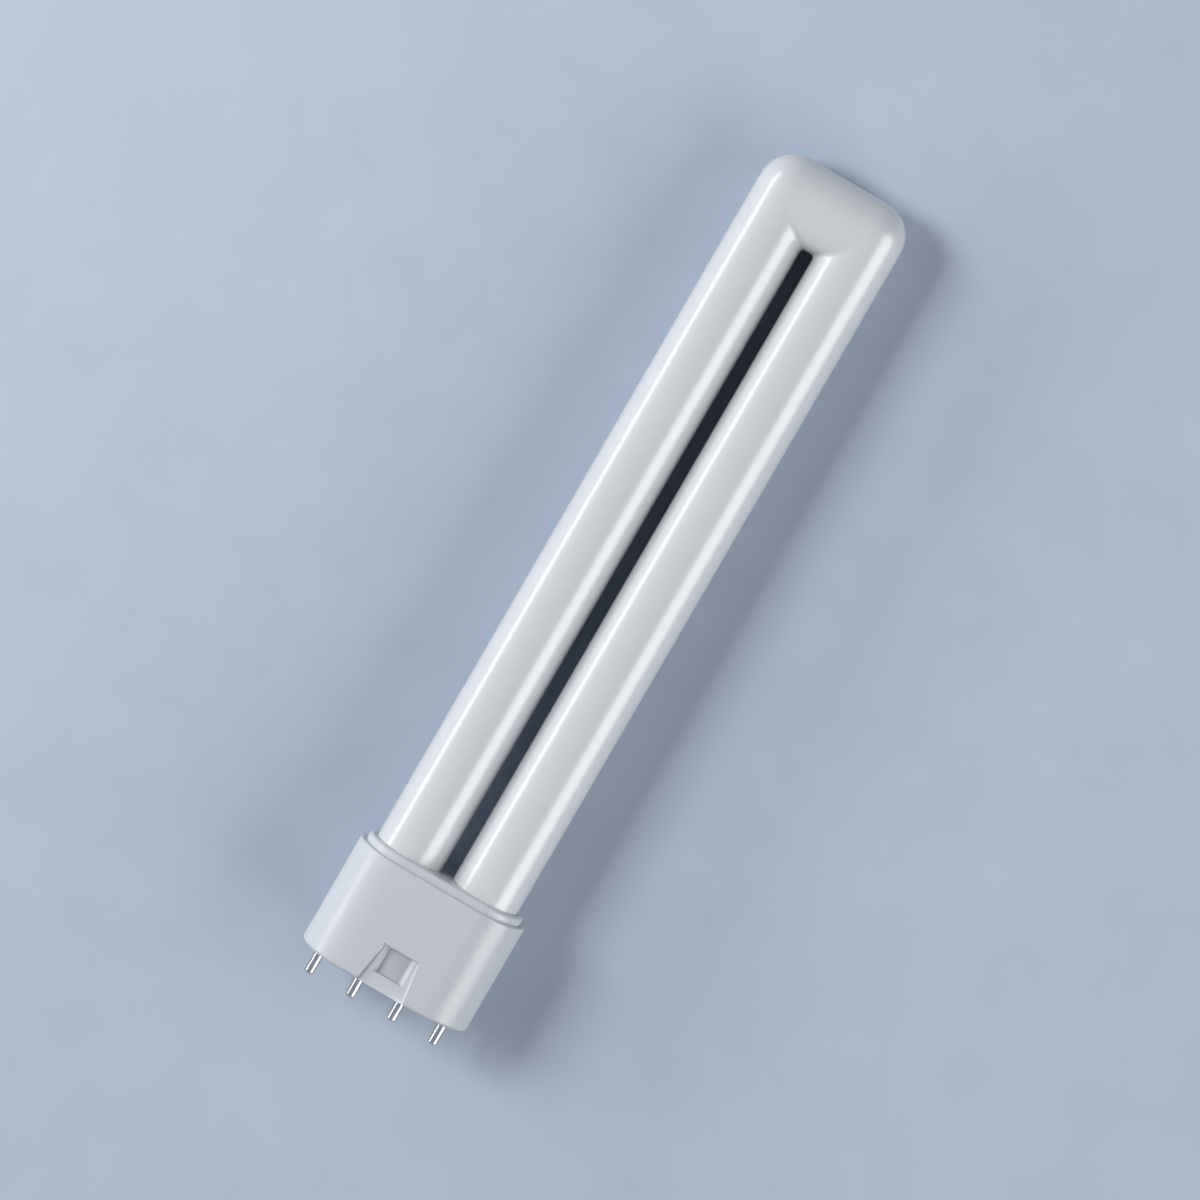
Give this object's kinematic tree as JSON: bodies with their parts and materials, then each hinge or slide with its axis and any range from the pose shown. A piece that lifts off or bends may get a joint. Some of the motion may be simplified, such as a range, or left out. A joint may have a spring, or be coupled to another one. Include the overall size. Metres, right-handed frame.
{
  "type": "compact fluorescent lamp",
  "caption": "Long single-ended compact fluorescent lamp: twin white glass legs joined by a square bend, in a white plastic cap with pins in one line.",
  "frame": {"origin": "centre of the cap's end face, on the line of the pins, midway between the two inner pins", "axes": "+X from the cap to the tip, so the pins point along -X; Y along the line of pins; +Z out of the wide face that looks up when the lamp lies down"},
  "size_m": [0.2236, 0.0436, 0.0234],
  "materials": {
    "coated_glass": "smooth glass with an opaque white coating inside",
    "holder_plastic": "satin moulded plastic",
    "cap_plastic": "satin moulded plastic",
    "cement": "dull",
    "nickel": "nickel-plated brass",
    "wire": "drawn wire"
  },
  "bodies": {
    "root": {"glass_tube": "coated_glass", "tube_holder": "holder_plastic", "cap_shell": "cap_plastic", "cement_ring_left": "cement", "cement_ring_right": "cement", "contact_pin_1": "nickel", "contact_pin_2": "nickel", "contact_pin_3": "nickel", "contact_pin_4": "nickel", "lead_wire_1": "wire", "lead_wire_2": "wire", "lead_wire_3": "wire", "lead_wire_4": "wire"}
  },
  "joints": []
}
